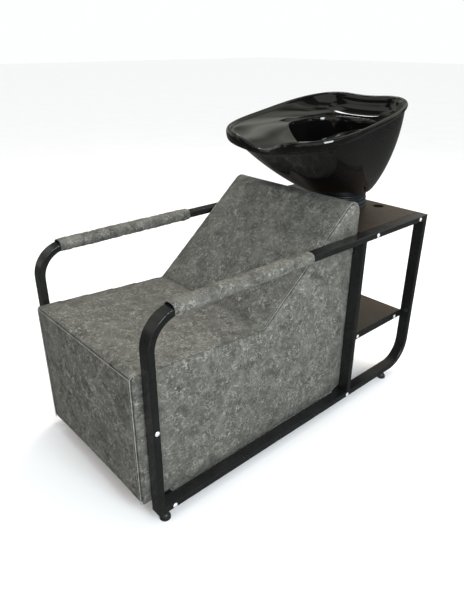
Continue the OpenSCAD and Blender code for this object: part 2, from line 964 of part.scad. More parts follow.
module drain_body() {
    seat_z = basin_floor_z + drain_washer_t;
    color(bright_steel) placed()
        translate([0, neck_y, 0])
            difference() {
                union() {
                    translate([0, 0, drain_tube_bottom])
                        cylinder(r = drain_tube_r, h = seat_z - drain_tube_bottom + 0.1);
                    translate([0, 0, seat_z])
                        cylinder(r = drain_flange_r, h = drain_flange_t);
                }
                translate([0, 0, drain_tube_bottom - 1])
                    cylinder(r = drain_bore_r, h = 100);
            }
}

module drain_nut() {
    color(bright_steel) placed()
        translate([0, neck_y, tilt_plate_z - 8])
            difference() {
                cylinder(r = 32, h = 8, $fn = 6);
                translate([0, 0, -1])
                    cylinder(r = drain_tube_r + 0.1, h = 10);
            }
}

module drain_tail() {
    color(plastic_black) placed()
        translate([0, neck_y, tail_bottom])
            difference() {
                cylinder(r = tail_r, h = drain_tube_bottom - tail_bottom);
                translate([0, 0, -1])
                    cylinder(r = drain_bore_r, h = drain_tube_bottom - tail_bottom + 2);
            }
}

module tail_nut() {
    color(plastic_black) placed()
        translate([0, neck_y, drain_tube_bottom - 14])
            difference() {
                cylinder(r = 25, h = 22);
                translate([0, 0, -1])
                    cylinder(r = drain_tube_r + 0.1, h = 24);
            }
}

module hair_strainer() {
    seat_z = basin_floor_z + drain_washer_t + drain_flange_t;
    color(bright_steel) placed()
        translate([0, neck_y, seat_z])
            difference() {
                union() {
                    cylinder(r = 24, h = 2);
                    translate([0, 0, -14])
                        cylinder(r = drain_bore_r - 1, h = 15);
                    cylinder(r = 4, h = 9);
                    translate([0, 0, 9])
                        sphere(5);
                }
                translate([0, 0, -12])
                    difference() {
                        cylinder(r = drain_bore_r - 2.5, h = 12.5);
                        cylinder(r = 4, h = 13);
                    }
                for (a = [0 : 36 : 324])
                    rotate(a)
                        translate([9, 0, -20])
                            cylinder(r = 1.8, h = 30);
            }
}

arm_tube(1);  // left_arm_tube
arm_tube(-1);  // right_arm_tube
base_tube(1);  // left_base_tube
base_tube(-1);  // right_base_tube
mid_post(1);  // left_mid_post
mid_post(-1);  // right_mid_post
cross_tube(cross_tube_y[0]);  // front_cross_tube
cross_tube(cross_tube_y[1]);  // rear_cross_tube
cross_tube_inserts();
cross_tube_screws();
body_screws();
carcass_side(1);  // carcass_side_left
carcass_side(-1);  // carcass_side_right
carcass_front();
carcass_rear();
carcass_seat_board();
carcass_back_board();
seat_cushion();
back_cushion();
front_pad();
rear_pad();
side_pad(1);  // side_pad_left
side_pad(-1);  // side_pad_right
armrest_pad(1);  // armrest_pad_left
armrest_pad(-1);  // armrest_pad_right
top_shelf();
top_shelf_screws();
top_shelf_nuts();
lower_shelf();
shelf_bar(1);  // shelf_bar_left
shelf_bar(-1);  // shelf_bar_right
lower_shelf_screws();
lower_shelf_nuts();
foot_inserts();
foot_base(1, foot_y[0]);  // foot_base_front_left
foot_base(-1, foot_y[0]);  // foot_base_front_right
foot_base(1, foot_y[1]);  // foot_base_rear_left
foot_base(-1, foot_y[1]);  // foot_base_rear_right
foot_stem(1, foot_y[0]);  // foot_stem_front_left
foot_stem(-1, foot_y[0]);  // foot_stem_front_right
foot_stem(1, foot_y[1]);  // foot_stem_rear_left
foot_stem(-1, foot_y[1]);  // foot_stem_rear_right
pedestal_bracket();
pedestal_bolts();
pedestal_nuts();
pivot_bolts();
pivot_nuts();
pivot_washers();
neck_bellows();
tilt_bracket();
basin_pad();
ceramic_basin();
drain_washer();
drain_body();
drain_nut();
drain_tail();
tail_nut();
hair_strainer();
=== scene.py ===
"""Looks of the shampoo backwash unit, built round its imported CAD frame.

Lengths inside the makers are millimetres, with y measured from the front of the side frames;
row_frame() turns them into the row frame's metres.
"""

import json
import math

import bmesh
import bpy
import numpy as np
from mathutils import Matrix, Vector, noise


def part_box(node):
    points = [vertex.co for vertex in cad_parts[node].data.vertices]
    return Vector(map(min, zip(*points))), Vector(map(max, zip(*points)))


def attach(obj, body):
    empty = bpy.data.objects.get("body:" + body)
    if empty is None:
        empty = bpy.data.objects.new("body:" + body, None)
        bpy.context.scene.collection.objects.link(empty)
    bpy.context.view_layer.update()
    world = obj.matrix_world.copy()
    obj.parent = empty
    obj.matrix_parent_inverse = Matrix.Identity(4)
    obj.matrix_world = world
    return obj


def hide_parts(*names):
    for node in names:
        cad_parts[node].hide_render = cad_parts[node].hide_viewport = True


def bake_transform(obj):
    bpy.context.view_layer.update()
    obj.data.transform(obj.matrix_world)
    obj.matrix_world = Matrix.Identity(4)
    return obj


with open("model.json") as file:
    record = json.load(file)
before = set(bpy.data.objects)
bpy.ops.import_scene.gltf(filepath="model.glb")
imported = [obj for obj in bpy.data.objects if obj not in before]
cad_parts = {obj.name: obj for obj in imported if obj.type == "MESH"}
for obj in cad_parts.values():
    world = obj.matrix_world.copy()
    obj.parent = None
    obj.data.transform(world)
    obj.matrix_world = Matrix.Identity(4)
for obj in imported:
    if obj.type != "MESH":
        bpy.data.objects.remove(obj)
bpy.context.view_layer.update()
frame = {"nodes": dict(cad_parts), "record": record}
SCENE = bpy.context.scene
MM = 0.001
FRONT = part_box("left_arm_tube")[0].y


# ---- Places ----

def row_frame(points):
    """Millimetres from the frame's front, as metres in the row frame."""
    p = np.array(points, float) * MM
    p[..., 1] += FRONT
    return p


def in_mm(points):
    """The reverse of row_frame()."""
    p = np.array(points, float)
    p[..., 1] -= FRONT
    return p / MM


def low(node):
    return in_mm(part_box(node)[0])


def high(node):
    return in_mm(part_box(node)[1])


def corner(node, y, z):
    """(y, z) of the CAD node's corner that lies furthest in that direction of its side view."""
    points = in_mm([v.co for v in frame["nodes"][node].data.vertices])
    return points[np.argmax(points[:, 1] * y + points[:, 2] * z), 1:]


# ---- Mesh helpers ----

def new_object(name, mesh, material=None, smooth=True):
    obj = bpy.data.objects.new(name, mesh)
    SCENE.collection.objects.link(obj)
    if material:
        mesh.materials.append(material)
    if smooth:
        mesh.shade_smooth()
    return obj


def grid_mesh(name, rings, close_rings=False, close_stack=False, cap=False):
    """Quads through rings of points: rings is an array [ring, point, xyz] in millimetres."""
    count, sides = rings.shape[:2]
    faces = []
    for k in range(count if close_stack else count - 1):
        for i in range(sides if close_rings else sides - 1):
            j = (i + 1) % sides
            m = (k + 1) % count
            faces.append((k * sides + i, k * sides + j, m * sides + j, m * sides + i))
    if cap:
        faces.append(tuple(range(sides))[::-1])
        faces.append(tuple((count - 1) * sides + i for i in range(sides)))
    mesh = bpy.data.meshes.new(name)
    mesh.from_pydata(row_frame(rings.reshape(-1, 3)).tolist(), [], faces)
    bm = bmesh.new()
    bm.from_mesh(mesh)
    bmesh.ops.recalc_face_normals(bm, faces=bm.faces)
    bm.to_mesh(mesh)
    bm.free()
    return mesh


def subdivided(obj, levels):
    """Applies a subdivision surface."""
    modifier = obj.modifiers.new("smooth", "SUBSURF")
    modifier.levels = modifier.render_levels = levels
    return applied(obj)


def applied(obj):
    """Applies every modifier of a piece."""
    graph = bpy.context.evaluated_depsgraph_get()
    old = obj.data
    mesh = bpy.data.meshes.new_from_object(obj.evaluated_get(graph))
    mesh.name = obj.name
    obj.modifiers.clear()
    obj.data = mesh
    bpy.data.meshes.remove(old)
    mesh.shade_smooth()
    return obj


def sweep(name, path, radius, sides, material):
    """A round cord of leather or thread along a path of points."""
    path = np.array(path, float)
    ahead = np.gradient(path, axis=0)
    ahead /= np.linalg.norm(ahead, axis=1)[:, None]
    side = np.cross(ahead, (1.0, 0.13, 0.07))
    weak = np.linalg.norm(side, axis=1) < 0.3
    side[weak] = np.cross(ahead[weak], (0.0, 0.3, 1.0))
    side /= np.linalg.norm(side, axis=1)[:, None]
    up = np.cross(ahead, side)
    turn = np.linspace(0, 2 * math.pi, sides, endpoint=False)
    rings = path[:, None] + radius * (
        np.cos(turn)[None, :, None] * side[:, None] + np.sin(turn)[None, :, None] * up[:, None]
    )
    return new_object(name, grid_mesh(name, rings, close_rings=True, cap=True), material)


def along(path, step):
    """The points of a path, evenly spaced."""
    path = np.array(path, float)
    lengths = np.concatenate([[0], np.cumsum(np.linalg.norm(np.diff(path, axis=0), axis=1))])
    count = max(2, round(lengths[-1] / step))
    at = np.linspace(0, lengths[-1], count + 1)
    return np.stack([np.interp(at, lengths, path[:, k]) for k in range(3)], axis=1)


STITCH_STEPS = 8
THREAD_SIDES = 6
STITCH_PROFILE = ((0, 0.3), (0.15, 0.9), (0.5, 1), (0.85, 0.9), (1, 0.3))


def stitches(name, path, material, pitch=5.2, length=3.8, radius=0.55):
    """A row of sewn stitches along a path: a short thread, thinnest at its ends, for every pitch."""
    points = along(path, pitch / STITCH_STEPS)
    share = length / pitch
    rings, faces = [], []
    turn = np.linspace(0, 2 * math.pi, THREAD_SIDES, endpoint=False)
    for s in range(int(len(points) / STITCH_STEPS)):
        a = points[s * STITCH_STEPS]
        b = points[min((s + 1) * STITCH_STEPS, len(points) - 1)]
        ahead = (b - a) / np.linalg.norm(b - a)
        side = np.cross(ahead, (0.37, 0.61, 0.70))
        side /= np.linalg.norm(side)
        up = np.cross(ahead, side)
        first = len(rings) * THREAD_SIDES
        circle = np.cos(turn)[:, None] * side + np.sin(turn)[:, None] * up
        for t, r in STITCH_PROFILE:
            centre = a + (b - a) * share * t
            rings.append(centre + radius * r * circle)
        last = len(rings) * THREAD_SIDES - THREAD_SIDES
        for k in range(first, last, THREAD_SIDES):
            m = k + THREAD_SIDES
            for i in range(THREAD_SIDES):
                j = (i + 1) % THREAD_SIDES
                faces.append((k + i, k + j, m + j, m + i))
        faces.append(tuple(first + i for i in range(THREAD_SIDES))[::-1])
        faces.append(tuple(last + i for i in range(THREAD_SIDES)))
    mesh = bpy.data.meshes.new(name)
    mesh.from_pydata(row_frame(np.concatenate(rings)).tolist(), [], faces)
    return new_object(name, mesh, material)


# ---- Materials ----

class Finish:
    """A node material under construction: short calls for the nodes that the finishes share."""

    def __init__(self, name):
        self.material = bpy.data.materials.new(name)
        self.material.use_nodes = True
        self.tree = self.material.node_tree
        self.shader = self.tree.nodes["Principled BSDF"]
        self.place = self.node("ShaderNodeTexCoord").outputs["Object"]

    def node(self, kind, **settings):
        made = self.tree.nodes.new(kind)
        for key, value in settings.items():
            setattr(made, key, value)
        return made

    def link(self, source, target):
        self.tree.links.new(source, target)

    def stretched(self, scale, turn=(0, 0, 0)):
        made = self.node("ShaderNodeMapping")
        made.inputs["Scale"].default_value = scale
        made.inputs["Rotation"].default_value = turn
        self.link(self.place, made.inputs["Vector"])
        return made.outputs["Vector"]

    def noise(self, scale, detail=3.0, rough=0.55, distortion=0.0, place=None):
        made = self.node("ShaderNodeTexNoise")
        made.inputs["Scale"].default_value = scale
        made.inputs["Detail"].default_value = detail
        made.inputs["Roughness"].default_value = rough
        made.inputs["Distortion"].default_value = distortion
        self.link(place or self.place, made.inputs["Vector"])
        return made.outputs["Fac"]

    def cells(self, scale, feature="DISTANCE_TO_EDGE"):
        made = self.node("ShaderNodeTexVoronoi", feature=feature)
        made.inputs["Scale"].default_value = scale
        self.link(self.place, made.inputs["Vector"])
        return made.outputs["Distance"]

    def ramp(self, source, *stops):
        """Maps a value to (position, colour or grey) stops."""
        made = self.node("ShaderNodeValToRGB")
        elements = made.color_ramp.elements
        while len(elements) < len(stops):
            elements.new(0.5)
        for element, (at, colour) in zip(elements, stops):
            element.position = at
            element.color = colour if hasattr(colour, "__len__") else (colour, colour, colour, 1)
        self.link(source, made.inputs["Fac"])
        return made.outputs["Color"]

    def mix(self, share, a, b, blend="MIX"):
        made = self.node("ShaderNodeMix", data_type="RGBA", blend_type=blend)
        for socket, value in ((made.inputs[0], share), (made.inputs[6], a), (made.inputs[7], b)):
            if hasattr(value, "is_output"):
                self.link(value, socket)
            else:
                socket.default_value = value
        return made.outputs[2]

    def sum(self, a, b, kind="ADD"):
        made = self.node("ShaderNodeMath", operation=kind)
        for socket, value in zip(made.inputs, (a, b)):
            if hasattr(value, "is_output"):
                self.link(value, socket)
            else:
                socket.default_value = value
        return made.outputs[0]

    def bump(self, height, strength, distance):
        made = self.node("ShaderNodeBump")
        made.inputs["Strength"].default_value = strength
        made.inputs["Distance"].default_value = distance
        self.link(height, made.inputs["Height"])
        self.link(made.outputs["Normal"], self.shader.inputs["Normal"])

    def set(self, **values):
        for key, value in values.items():
            socket = self.shader.inputs[key.replace("_", " ")]
            if hasattr(value, "is_output"):
                self.link(value, socket)
            else:
                socket.default_value = value
        return self.material


def mottled_leather(name, dark, light, fleck):
    """Matt synthetic leather: cloudy mottling under short pale fibres, with a fine grain."""
    f = Finish(name)
    clouds = f.noise(22, 4, 0.6, 0.8)
    patches = f.noise(105, 5, 0.7, 1.6)
    tone = f.sum(f.sum(clouds, 0.5, "MULTIPLY"), f.sum(patches, 0.5, "MULTIPLY"))
    colour = f.ramp(tone, (0.39, dark), (0.61, light))
    fibres = None
    for turn in ((0.5, 0.3, 0.9), (-0.7, 0.6, -0.4), (0.2, -0.8, 2.0)):
        curl = f.noise(1.0, 1, 0.5, 1.4, f.stretched((62, 38, 52), turn))
        curl = f.ramp(curl, (0.455, 0.0), (0.490, 1.0), (0.525, 0.0))
        gaps = f.noise(1.0, 1, 0.5, 0.0, f.stretched((80, 95, 75), turn))
        broken = f.ramp(gaps, (0.42, 0.0), (0.58, 1.0))
        curl = f.mix(1.0, curl, broken, "MULTIPLY")
        fibres = curl if fibres is None else f.mix(1.0, fibres, curl, "LIGHTEN")
    sparse = f.ramp(f.noise(30, 2, 0.5), (0.38, 0.25), (0.62, 0.9))
    colour = f.mix(f.mix(1.0, fibres, sparse, "MULTIPLY"), colour, fleck)
    grain = f.sum(f.cells(620), f.noise(1500, 2, 0.5), "ADD")
    f.bump(f.sum(grain, f.sum(patches, 0.8, "MULTIPLY"), "ADD"), 0.35, 0.0006)
    rough = f.ramp(patches, (0.3, 0.62), (0.7, 0.48))
    return f.set(Base_Color=colour, Roughness=rough, Specular_IOR_Level=0.38)


def powder_coat(name, colour, pale, rough):
    """Satin powder coat: a fine orange peel and slightly uneven gloss."""
    f = Finish(name)
    peel = f.noise(700, 2, 0.5)
    wear = f.noise(9, 3, 0.6)
    f.bump(peel, 0.03, 0.0004)
    base = f.mix(f.ramp(wear, (0.4, 0.0), (0.7, 1.0)), colour, pale)
    gloss = f.ramp(f.noise(40, 3, 0.6), (0.3, rough - 0.05), (0.7, rough + 0.06))
    return f.set(Base_Color=base, Roughness=gloss, Specular_IOR_Level=0.5)


def black_glaze():
    """Glossy black glaze that pools very slightly unevenly on the ceramic."""
    f = Finish("black_glaze")
    flow = f.noise(11, 2, 0.5)
    f.bump(f.sum(flow, f.sum(f.noise(60, 1, 0.4), 0.08, "MULTIPLY")), 0.05, 0.003)
    deep_black, thin_black = (0.0025, 0.0025, 0.0027, 1), (0.0045, 0.0045, 0.004, 1)
    tone = f.mix(f.ramp(flow, (0.3, 0.0), (0.7, 1.0)), deep_black, thin_black)
    gloss = f.ramp(f.noise(35, 2, 0.5), (0.3, 0.03), (0.7, 0.065))
    return f.set(Base_Color=tone, Roughness=gloss, IOR=1.5, Coat_Weight=0.25, Coat_Roughness=0.02)


def moulded(name, dark, pale, rough, scale=900):
    """Moulded rubber or plastic with a fine spark-eroded texture."""
    f = Finish(name)
    f.bump(f.noise(scale, 3, 0.6), 0.25, 0.0004)
    dust = f.ramp(f.noise(45, 4, 0.65), (0.42, 0.0), (0.75, 1.0))
    gloss = f.ramp(f.noise(120, 3, 0.6), (0.3, rough - 0.08), (0.7, rough + 0.08))
    return f.set(Base_Color=f.mix(dust, dark, pale), Roughness=gloss)


def plated(name, colour, rough, brushed, metallic=1.0):
    """Plated metal; brushed gives how strongly fine lathe or draw marks show."""
    f = Finish(name)
    marks = f.noise(1.0, 3, 0.6, 0.2, f.stretched((180, 180, 2600)))
    f.bump(marks, brushed, 0.0002)
    gloss = f.ramp(f.noise(160, 3, 0.6), (0.3, rough), (0.7, rough + 0.12))
    darker = tuple(c * 0.8 for c in colour[:3]) + (1,)
    tone = f.mix(f.ramp(f.noise(70, 3, 0.6), (0.35, 0.0), (0.7, 1.0)), colour, darker)
    return f.set(Base_Color=tone, Metallic=metallic, Roughness=gloss)


def birch_plywood():
    """Raw plywood: long pale grain and thin darker veneer lines."""
    f = Finish("plywood")
    grain = f.noise(1.0, 5, 0.6, 1.0, f.stretched((35, 35, 4), (0.1, 0, 0)))
    tone = f.ramp(grain, (0.3, (0.36, 0.22, 0.11, 1)), (0.7, (0.58, 0.42, 0.25, 1)))
    f.bump(grain, 0.2, 0.0005)
    return f.set(Base_Color=tone, Roughness=f.ramp(grain, (0.3, 0.55), (0.7, 0.75)))


LEATHER = ((0.042, 0.043, 0.038, 1), (0.122, 0.121, 0.107, 1), (0.310, 0.305, 0.272, 1))
# Leather for the seam cords, far lighter than the covers: a painted highlight for the light caught along the
# rounded, sewn edges, not wear.
PAINTED_HIGHLIGHT_LEATHER = ((0.15, 0.155, 0.145, 1), (0.27, 0.275, 0.255, 1), (0.40, 0.40, 0.37, 1))
FRAME_BLACK = ((0.008, 0.0085, 0.0085, 1), (0.012, 0.0125, 0.0125, 1))
SHELF_BROWN = ((0.030, 0.020, 0.013, 1), (0.037, 0.025, 0.017, 1))
BRACKET_BLACK = ((0.012, 0.012, 0.012, 1), (0.02, 0.02, 0.02, 1))
MATERIALS = {
    "grey_leather": mottled_leather("grey_leather", *LEATHER),
    "frame_powder_coat": powder_coat("frame_powder_coat", *FRAME_BLACK, 0.22),
    "shelf_powder_coat": powder_coat("shelf_powder_coat", *SHELF_BROWN, 0.36),
    "bracket_steel": powder_coat("bracket_steel", *BRACKET_BLACK, 0.4),
    "plywood": birch_plywood(),
    "black_plastic": moulded("black_plastic", (0.014, 0.014, 0.015, 1), (0.04, 0.04, 0.04, 1), 0.45),
    "black_rubber": moulded("black_rubber", (0.010, 0.012, 0.014, 1), (0.022, 0.026, 0.030, 1), 0.4, 600),
    "black_glaze": black_glaze(),
    "zinc_steel": plated("zinc_steel", (0.55, 0.56, 0.58, 1), 0.3, 0.3),
    "bright_screw": plated("bright_screw", (0.92, 0.92, 0.93, 1), 0.25, 0.12, 0.4),
    "chrome": plated("chrome", (0.78, 0.78, 0.80, 1), 0.06, 0.02),
}
THREAD = moulded("pale_thread", (0.20, 0.205, 0.19, 1), (0.30, 0.30, 0.28, 1), 0.6, 3000)
# The seam cords take the lighter leather above, which paints a highlight along the sewn edges.
WELT = mottled_leather("seam_edge_painted_highlight", *PAINTED_HIGHLIGHT_LEATHER)


def dress_cad_nodes():
    """Gives every CAD node the material of its slot."""
    for row in frame["record"]["subparts"]:
        obj = frame["nodes"][row["node"]]
        obj.data.materials.clear()
        obj.data.materials.append(MATERIALS[row["material_slot"]])


# ---- Upholstery ----

EDGE_BAND = 10.0
SEAM_X = high("side_pad_left")[0] - EDGE_BAND
SIDE_X = high("side_pad_left")[0]
BODY_Z = low("front_pad")[2]
SIDE_Z = low("side_pad_left")[2]
SEAT_FRONT = corner("seat_cushion", -1, 1)
CREASE = corner("seat_cushion", 0.3, 1)
BACK_ROOT = corner("back_cushion", 0, -1)
BACK_LINE = np.array([CREASE[1] - BACK_ROOT[1], BACK_ROOT[0] - CREASE[0]])
BACK_LINE = BACK_LINE / np.linalg.norm(BACK_ROOT - CREASE)
REAR_Y = high("rear_pad")[1]
BACK_CORNER = np.array([REAR_Y, CREASE[1] + (REAR_Y - CREASE[0]) * BACK_LINE[1] / BACK_LINE[0]])
BACK_ROUND = 35.0
SEAT_ROUND = 12
REAR_SEAM_Z = BACK_CORNER[1] - 95
SEAM_DROP = 11.0
PANEL_T = 12.0
SEWN_EDGES = (1, 1)
SIDE_EDGES = (1, 9.5)
FLAP_DEPTH = 10
FLAP_GAP = 2
CLOTH_FRAMES = 20


def rounded(corners, step=1.5):
    """The points of a closed outline in side view; each corner is (y, z, radius)."""
    points = []
    for i, (y, z, r) in enumerate(corners):
        here = np.array([y, z])
        a = np.array(corners[i - 1][:2]) - here
        b = np.array(corners[(i + 1) % len(corners)][:2]) - here
        a, b = a / np.linalg.norm(a), b / np.linalg.norm(b)
        half = math.acos(max(-1.0, min(1.0, float(a @ b)))) / 2
        if r <= 0:
            points.append(here)
            continue
        centre = here + (a + b) / np.linalg.norm(a + b) * r / math.sin(half)
        start, end = here + a * r / math.tan(half) - centre, here + b * r / math.tan(half) - centre
        first = math.atan2(start[1], start[0])
        swing = (math.atan2(end[1], end[0]) - first + math.pi) % (2 * math.pi) - math.pi
        count = max(3, round(abs(swing) * r / step))
        for t in np.linspace(0, 1, count + 1):
            angle = first + swing * t
            points.append(centre + r * np.array([math.cos(angle), math.sin(angle)]))
    return np.array(points)


def slab(outline, x0, x1, edge, faces="both"):
    """A closed form across x0 to x1 with its outline's edges rounded, as a bmesh."""
    bm = bmesh.new()
    rows = [[bm.verts.new(row_frame([x, y, z])) for y, z in outline] for x in (x0, x1)]
    n = len(outline)
    bm.faces.new(rows[0])
    bm.faces.new(rows[1][::-1])
    for i in range(n):
        j = (i + 1) % n
        bm.faces.new((rows[0][i], rows[1][i], rows[1][j], rows[0][j]))
    bmesh.ops.recalc_face_normals(bm, faces=bm.faces)
    for row, x in zip(rows, (x0, x1)):
        radius = edge[0] if x == x0 else edge[1]
        if radius > 0:
            ring = {v for v in bm.verts if abs(v.co.x - x * MM) < 1e-6}
            edges = [e for e in bm.edges if e.verts[0] in ring and e.verts[1] in ring]
            bmesh.ops.bevel(bm, geom=edges, offset=radius * MM, segments=6, profile=0.5, affect="EDGES")
    return bm


def remeshed(name, bm, voxel, relax):
    """The form as an even mesh, ready for cloth."""
    mesh = bpy.data.meshes.new(name)
    bmesh.ops.triangulate(bm, faces=bm.faces)
    bm.to_mesh(mesh)
    bm.free()
    obj = new_object(name, mesh, MATERIALS["grey_leather"])
    modifier = obj.modifiers.new("remesh", "REMESH")
    modifier.mode = "VOXEL"
    modifier.voxel_size = voxel * MM
    smoothing = obj.modifiers.new("relax", "SMOOTH")
    smoothing.factor = 0.5
    smoothing.iterations = relax
    return applied(obj)


def coordinates(obj):
    co = np.zeros(len(obj.data.vertices) * 3)
    obj.data.vertices.foreach_get("co", co)
    return co.reshape(-1, 3)


def normals(obj):
    n = np.zeros(len(obj.data.vertices) * 3, np.float32)
    obj.data.vertices.foreach_get("normal", n)
    return n.reshape(-1, 3).astype(float)


def set_coordinates(obj, co):
    obj.data.vertices.foreach_set("co", np.asarray(co, np.float32).ravel())
    obj.data.update()


def prepare_cloth(obj, free, pressure=4.0, stiffness=18.0, slack=0.0):
    """Adds a Cloth that holds every vertex but the free ones."""
    group = obj.vertex_groups.new(name="held")
    group.add([int(i) for i in np.nonzero(~free)[0]], 1.0, "REPLACE")
    cloth = obj.modifiers.new("cloth", "CLOTH")
    s = cloth.settings
    s.quality = 4
    s.mass = 0.25
    s.tension_stiffness = s.compression_stiffness = stiffness
    s.shear_stiffness = stiffness / 2
    s.bending_stiffness = 0.6
    s.use_pressure = True
    s.uniform_pressure_force = pressure
    s.effector_weights.gravity = 0
    s.shrink_min = -slack
    s.vertex_group_mass = "held"
    cloth.collision_settings.use_collision = False
    cloth.point_cache.frame_start = 1
    cloth.point_cache.frame_end = CLOTH_FRAMES


def run_cloth(pieces):
    """Simulates the prepared pieces together and applies the result, each one's moves kept under its cap."""
    rest = {obj.name: coordinates(obj) for obj, cap in pieces}
    for frame_number in range(1, CLOTH_FRAMES + 1):
        SCENE.frame_set(frame_number)
    for obj, cap in pieces:
        applied(obj)
        move = coordinates(obj) - rest[obj.name]
        size = np.linalg.norm(move, axis=1)[:, None] + 1e-12
        limit = cap * MM
        set_coordinates(obj, rest[obj.name] + move / size * limit * np.tanh(size / limit))
    SCENE.frame_set(1)


def facing(obj, direction, least):
    return normals(obj) @ np.array(direction, float) > least


def side_outline():
    """The body's whole side: front, seat, back, rear, and a flap tucked in between the cross tubes."""
    flap_z = SIDE_Z - FLAP_DEPTH
    flap_front = high("front_cross_tube")[1] + FLAP_GAP
    flap_rear = low("rear_cross_tube")[1] - FLAP_GAP
    return rounded([
        (SEAT_FRONT[0], SIDE_Z, 4), (SEAT_FRONT[0], SEAT_FRONT[1], SEAT_ROUND),
        (CREASE[0], CREASE[1], 3),
        (BACK_CORNER[0], BACK_CORNER[1], BACK_ROUND), (REAR_Y, SIDE_Z, 4),
        (flap_rear, SIDE_Z, 1), (flap_rear, flap_z, 2), (flap_front, flap_z, 2), (flap_front, SIDE_Z, 1),
    ])


def seat_form():
    inner = SEAT_FRONT[0] + PANEL_T
    return slab(rounded([
        (SEAT_FRONT[0], SEAT_FRONT[1] - SEAM_DROP, 2), (SEAT_FRONT[0], SEAT_FRONT[1], SEAT_ROUND),
        (CREASE[0] + 12, CREASE[1] - 1, 3), (BACK_ROOT[0] + 4, BACK_ROOT[1] + 2, 2),
        (inner, BACK_ROOT[1] + 12, 3), (inner, SEAT_FRONT[1] - SEAM_DROP, 2),
    ]), -SEAM_X, SEAM_X, SEWN_EDGES)


def back_form():
    inner = REAR_Y - PANEL_T
    start = CREASE - BACK_LINE * 10
    return slab(rounded([
        (start[0], start[1], 3), (BACK_CORNER[0], BACK_CORNER[1], BACK_ROUND),
        (REAR_Y, REAR_SEAM_Z, 2), (inner, REAR_SEAM_Z, 2), (inner, REAR_SEAM_Z - 20, 3),
        (BACK_ROOT[0] + 3, BACK_ROOT[1] + 2, 3),
    ]), -SEAM_X, SEAM_X, SEWN_EDGES)


def front_form():
    y0 = SEAT_FRONT[0]
    top = SEAT_FRONT[1] - SEAM_DROP
    return slab(rounded([
        (y0, BODY_Z, 8), (y0, top, 2.5), (y0 + PANEL_T, top, 2), (y0 + PANEL_T, BODY_Z, 4)
    ]), -SEAM_X, SEAM_X, SEWN_EDGES)


def rear_form():
    y1 = REAR_Y
    top = REAR_SEAM_Z
    return slab(rounded([
        (y1 - PANEL_T, BODY_Z, 4), (y1 - PANEL_T, top, 2), (y1, top, 2.5), (y1, BODY_Z, 8)
    ]), -SEAM_X, SEAM_X, SEWN_EDGES)


def side_form():
    return slab(side_outline(), SEAM_X, SIDE_X, SIDE_EDGES)


FRAME_CLEARANCE = 0.8
OPEN_BULGE = 5.0
BULGE_REACH = 60


def clear_of_frame(obj):
    """Keeps the side cover inside the frame's tubes: it bulges only in the open part of the loop."""
    p = in_mm(coordinates(obj))
    inner_x = low("left_arm_tube")[0]
    rail_low, rail_high = high("left_mid_post")[2], high("left_arm_tube")[2]
    post_rear = low("left_arm_tube")[1] + (rail_high - rail_low)
    away_rail = np.maximum(rail_low - p[:, 2], p[:, 2] - rail_high)
    away_post = np.maximum(p[:, 1] - post_rear, low("left_arm_tube")[1] - p[:, 1])
    away_mid = low("left_mid_post")[1] - p[:, 1]
    away = np.clip(np.minimum(np.minimum(away_rail, away_post), away_mid), 0, BULGE_REACH)
    room = inner_x - FRAME_CLEARANCE + OPEN_BULGE * np.sin(away / BULGE_REACH * math.pi / 2) ** 2
    p[:, 0] = np.minimum(p[:, 0], room)
    set_coordinates(obj, row_frame(p))


def mirrored(obj, name):
    """The same piece on the other side."""
    mesh = obj.data.copy()
    mesh.name = name
    mesh.transform(Matrix.Scale(-1, 4, (1, 0, 0)))
    mesh.flip_normals()
    return new_object(name, mesh)


SLEEVE_SIDES = 56
SLEEVE_RINGS = 130
SLEEVE_SQUARE = (0.72, 0.80)
SLEEVE_INSET = 0.8
CRINKLE = 0.048
RIPPLE = 0.02
SLEEVE_SAG = 1.6
SLEEVE_WALL = 2.4


def sleeve_form(name):
    """The armrest's leather sleeve round its padding, as an open tube without thickness."""
    lo, hi = low("armrest_pad_left"), high("armrest_pad_left")
    mid_x, mid_z = (lo[0] + hi[0]) / 2, (lo[2] + hi[2]) / 2
    half_w, half_h = (hi[0] - lo[0]) / 2, (hi[2] - lo[2]) / 2
    rings = []
    for k in range(SLEEVE_RINGS + 1):
        t = k / SLEEVE_RINGS
        y = lo[1] + (hi[1] - lo[1]) * t
        end = min(t, 1 - t) * (hi[1] - lo[1])
        pull = 0.5 * math.exp(-end / 5)
        ring = []
        for i in range(SLEEVE_SIDES):
            a = 2 * math.pi * i / SLEEVE_SIDES
            ca, sa = math.cos(a), math.sin(a)
            x = math.copysign(abs(ca) ** SLEEVE_SQUARE[0], ca) * (half_w - SLEEVE_INSET - pull)
            z = math.copysign(abs(sa) ** SLEEVE_SQUARE[1], sa) * (half_h - SLEEVE_INSET - pull)
            crinkle = noise.noise(Vector((x * 0.02, y * 0.085, z * 0.03 + 7)))
            ripple = noise.noise(Vector((x * 0.05 + 3, y * 0.03, z * 0.05)))
            swell = 1 + CRINKLE * crinkle + RIPPLE * ripple
            sag = SLEEVE_SAG * max(0.0, -sa) ** 2 * (noise.noise(Vector((0, y * 0.035, 2))) + 0.35)
            ring.append((mid_x + x * swell, y, mid_z + z * swell - sag))
        rings.append(ring)
    rings = np.array(rings)
    mesh = grid_mesh(name, rings, close_rings=True)
    return new_object(name, mesh, MATERIALS["grey_leather"])


def closed_sleeve(obj):
    """Gives the simulated sleeve its leather thickness and rolled ends."""
    shell = obj.modifiers.new("thickness", "SOLIDIFY")
    shell.thickness = SLEEVE_WALL * MM
    shell.offset = -1
    shell.use_rim = True
    return subdivided(obj, 1)


